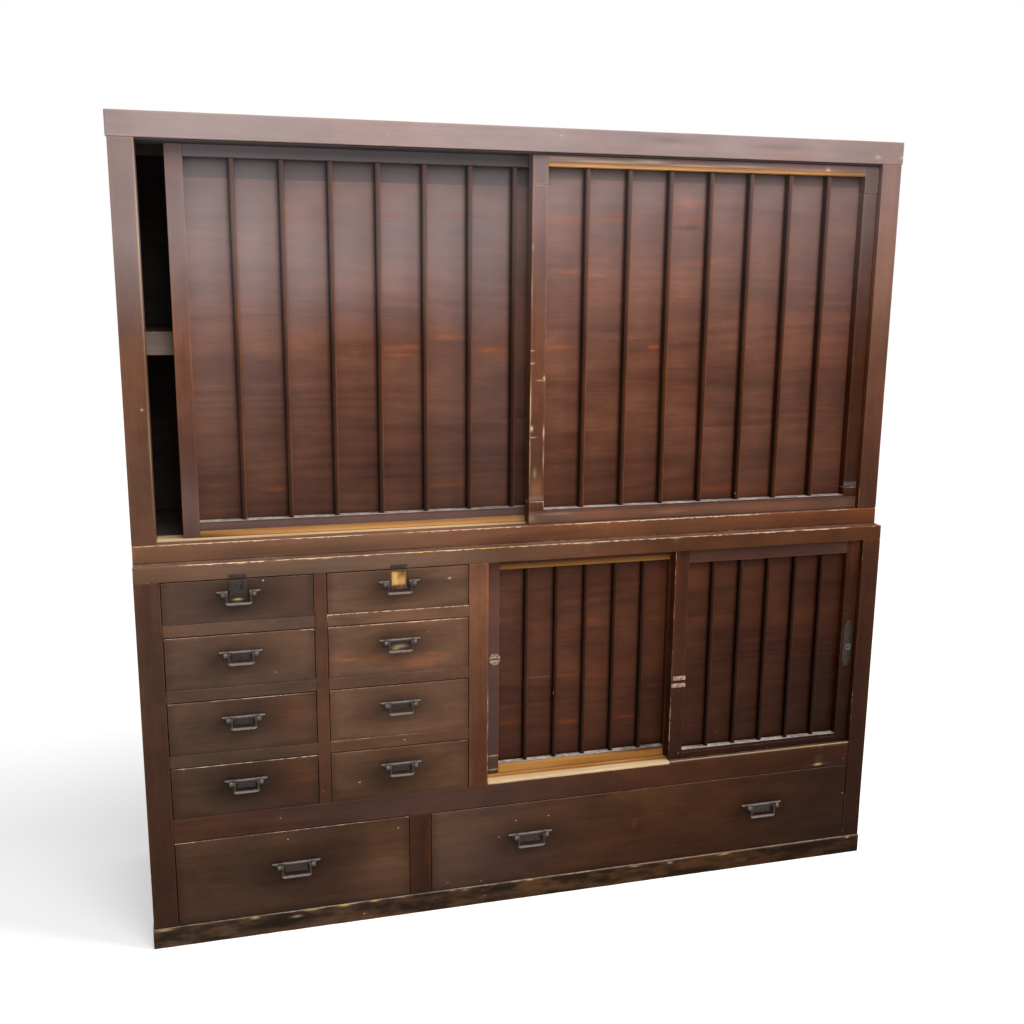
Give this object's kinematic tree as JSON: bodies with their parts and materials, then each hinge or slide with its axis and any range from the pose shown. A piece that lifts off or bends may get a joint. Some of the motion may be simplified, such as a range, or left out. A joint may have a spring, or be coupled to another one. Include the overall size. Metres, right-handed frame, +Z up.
{
  "type": "stacked clothes chest",
  "caption": "Low-relief wooden chest in two stacked sections, with sliding lattice doors above, and drawers on iron drop handles beside a smaller pair of lattice doors below.",
  "frame": {"origin": "on the floor under the middle of the chest's outer box", "axes": "+Z up, the doors and drawers face -Y, +X to the right as seen from the front"},
  "size_m": [1.763, 0.473, 1.7783],
  "materials": {
    "frame_wood": "worn dark stain",
    "inner_wood": "bare aged wood",
    "sill_wood": "worn bare wood",
    "drawer_wood": "worn dark stain",
    "lattice_wood": "worn dark stain",
    "panel_wood": "thin red-brown stain",
    "plinth_wood": "chipped black stain",
    "iron": "dark forged iron"
  },
  "bodies": {
    "carcase": {"plinth_base": "plinth_wood", "lower_left_side": "frame_wood", "lower_right_side": "frame_wood", "lower_back": "inner_wood", "mid_deck": "frame_wood", "wide_drawer_partition": "frame_wood", "centre_partition": "frame_wood", "door_partition": "frame_wood", "drawer_divider_1": "frame_wood", "drawer_divider_2": "frame_wood", "drawer_divider_3": "frame_wood", "lower_door_sill": "sill_wood", "lower_top": "frame_wood", "upper_floor": "sill_wood", "upper_left_side": "frame_wood", "upper_right_side": "frame_wood", "upper_back": "inner_wood", "upper_shelf": "inner_wood", "upper_head_track": "frame_wood", "upper_top": "frame_wood"},
    "upper_left_door": {"upper_left_door_lattice": "lattice_wood", "upper_left_door_panel": "panel_wood"},
    "upper_right_door": {"upper_right_door_lattice": "lattice_wood", "upper_right_door_panel": "panel_wood"},
    "lower_left_door": {"lower_left_door_lattice": "lattice_wood", "lower_left_door_panel": "panel_wood"},
    "lower_right_door": {"lower_right_door_lattice": "lattice_wood", "lower_right_door_panel": "panel_wood"},
    "left_drawer_1": {"left_drawer_1": "drawer_wood", "left_drawer_1_plate": "iron"},
    "left_drawer_2": {"left_drawer_2": "drawer_wood", "left_drawer_2_plate": "iron"},
    "left_drawer_3": {"left_drawer_3": "drawer_wood", "left_drawer_3_plate": "iron"},
    "left_drawer_4": {"left_drawer_4": "drawer_wood", "left_drawer_4_plate": "iron"},
    "right_drawer_1": {"right_drawer_1": "drawer_wood", "right_drawer_1_plate": "iron"},
    "right_drawer_2": {"right_drawer_2": "drawer_wood", "right_drawer_2_plate": "iron"},
    "right_drawer_3": {"right_drawer_3": "drawer_wood", "right_drawer_3_plate": "iron"},
    "right_drawer_4": {"right_drawer_4": "drawer_wood", "right_drawer_4_plate": "iron"},
    "wide_left_drawer": {"wide_left_drawer": "drawer_wood", "wide_left_drawer_plate": "iron"},
    "wide_right_drawer": {"wide_right_drawer": "drawer_wood", "wide_right_drawer_near_plate": "iron", "wide_right_drawer_far_plate": "iron"},
    "left_drawer_1_bail": {"left_drawer_1_bail": "iron"},
    "left_drawer_2_bail": {"left_drawer_2_bail": "iron"},
    "left_drawer_3_bail": {"left_drawer_3_bail": "iron"},
    "left_drawer_4_bail": {"left_drawer_4_bail": "iron"},
    "right_drawer_1_bail": {"right_drawer_1_bail": "iron"},
    "right_drawer_2_bail": {"right_drawer_2_bail": "iron"},
    "right_drawer_3_bail": {"right_drawer_3_bail": "iron"},
    "right_drawer_4_bail": {"right_drawer_4_bail": "iron"},
    "wide_left_drawer_bail": {"wide_left_drawer_bail": "iron"},
    "wide_right_drawer_near_bail": {"wide_right_drawer_near_bail": "iron"},
    "wide_right_drawer_far_bail": {"wide_right_drawer_far_bail": "iron"}
  },
  "joints": [
    {"name": "upper_left_door_slide", "type": "slide", "parent": "carcase", "child": "upper_left_door", "axis": [1, 0, 0], "range_m": [-0.053, 0.743]},
    {"name": "upper_right_door_slide", "type": "slide", "parent": "carcase", "child": "upper_right_door", "axis": [1, 0, 0], "range_m": [-0.812, 0]},
    {"name": "lower_left_door_slide", "type": "slide", "parent": "carcase", "child": "lower_left_door", "axis": [1, 0, 0], "range_m": [0, 0.457]},
    {"name": "lower_right_door_slide", "type": "slide", "parent": "carcase", "child": "lower_right_door", "axis": [1, 0, 0], "range_m": [-0.457, 0]},
    {"name": "left_drawer_1_slide", "type": "slide", "parent": "carcase", "child": "left_drawer_1", "axis": [0, -1, 0], "range_m": [0, 0.33]},
    {"name": "left_drawer_2_slide", "type": "slide", "parent": "carcase", "child": "left_drawer_2", "axis": [0, -1, 0], "range_m": [0, 0.33]},
    {"name": "left_drawer_3_slide", "type": "slide", "parent": "carcase", "child": "left_drawer_3", "axis": [0, -1, 0], "range_m": [0, 0.33]},
    {"name": "left_drawer_4_slide", "type": "slide", "parent": "carcase", "child": "left_drawer_4", "axis": [0, -1, 0], "range_m": [0, 0.33]},
    {"name": "right_drawer_1_slide", "type": "slide", "parent": "carcase", "child": "right_drawer_1", "axis": [0, -1, 0], "range_m": [0, 0.33]},
    {"name": "right_drawer_2_slide", "type": "slide", "parent": "carcase", "child": "right_drawer_2", "axis": [0, -1, 0], "range_m": [0, 0.33]},
    {"name": "right_drawer_3_slide", "type": "slide", "parent": "carcase", "child": "right_drawer_3", "axis": [0, -1, 0], "range_m": [0, 0.33]},
    {"name": "right_drawer_4_slide", "type": "slide", "parent": "carcase", "child": "right_drawer_4", "axis": [0, -1, 0], "range_m": [0, 0.33]},
    {"name": "wide_left_drawer_slide", "type": "slide", "parent": "carcase", "child": "wide_left_drawer", "axis": [0, -1, 0], "range_m": [0, 0.33]},
    {"name": "wide_right_drawer_slide", "type": "slide", "parent": "carcase", "child": "wide_right_drawer", "axis": [0, -1, 0], "range_m": [0, 0.33]},
    {"name": "left_drawer_1_bail_swing", "type": "hinge", "parent": "left_drawer_1", "child": "left_drawer_1_bail", "pos_m": [-0.66725, -0.231, 0.8065], "axis": [-1, 0, 0], "range_deg": [0, 120]},
    {"name": "left_drawer_2_bail_swing", "type": "hinge", "parent": "left_drawer_2", "child": "left_drawer_2_bail", "pos_m": [-0.66725, -0.231, 0.67275], "axis": [-1, 0, 0], "range_deg": [0, 120]},
    {"name": "left_drawer_3_bail_swing", "type": "hinge", "parent": "left_drawer_3", "child": "left_drawer_3_bail", "pos_m": [-0.66725, -0.231, 0.5255], "axis": [-1, 0, 0], "range_deg": [0, 120]},
    {"name": "left_drawer_4_bail_swing", "type": "hinge", "parent": "left_drawer_4", "child": "left_drawer_4_bail", "pos_m": [-0.66725, -0.231, 0.378], "axis": [-1, 0, 0], "range_deg": [0, 120]},
    {"name": "right_drawer_1_bail_swing", "type": "hinge", "parent": "right_drawer_1", "child": "right_drawer_1_bail", "pos_m": [-0.32275, -0.231, 0.8065], "axis": [-1, 0, 0], "range_deg": [0, 120]},
    {"name": "right_drawer_2_bail_swing", "type": "hinge", "parent": "right_drawer_2", "child": "right_drawer_2_bail", "pos_m": [-0.32275, -0.231, 0.67275], "axis": [-1, 0, 0], "range_deg": [0, 120]},
    {"name": "right_drawer_3_bail_swing", "type": "hinge", "parent": "right_drawer_3", "child": "right_drawer_3_bail", "pos_m": [-0.32275, -0.231, 0.5255], "axis": [-1, 0, 0], "range_deg": [0, 120]},
    {"name": "right_drawer_4_bail_swing", "type": "hinge", "parent": "right_drawer_4", "child": "right_drawer_4_bail", "pos_m": [-0.32275, -0.231, 0.378], "axis": [-1, 0, 0], "range_deg": [0, 120]},
    {"name": "wide_left_drawer_bail_swing", "type": "hinge", "parent": "wide_left_drawer", "child": "wide_left_drawer_bail", "pos_m": [-0.565, -0.231, 0.1655], "axis": [-1, 0, 0], "range_deg": [0, 120]},
    {"name": "wide_right_drawer_near_bail_swing", "type": "hinge", "parent": "wide_right_drawer", "child": "wide_right_drawer_near_bail", "pos_m": [-0.014, -0.231, 0.1655], "axis": [-1, 0, 0], "range_deg": [0, 120]},
    {"name": "wide_right_drawer_far_bail_swing", "type": "hinge", "parent": "wide_right_drawer", "child": "wide_right_drawer_far_bail", "pos_m": [0.5925, -0.231, 0.1655], "axis": [-1, 0, 0], "range_deg": [0, 120]}
  ]
}
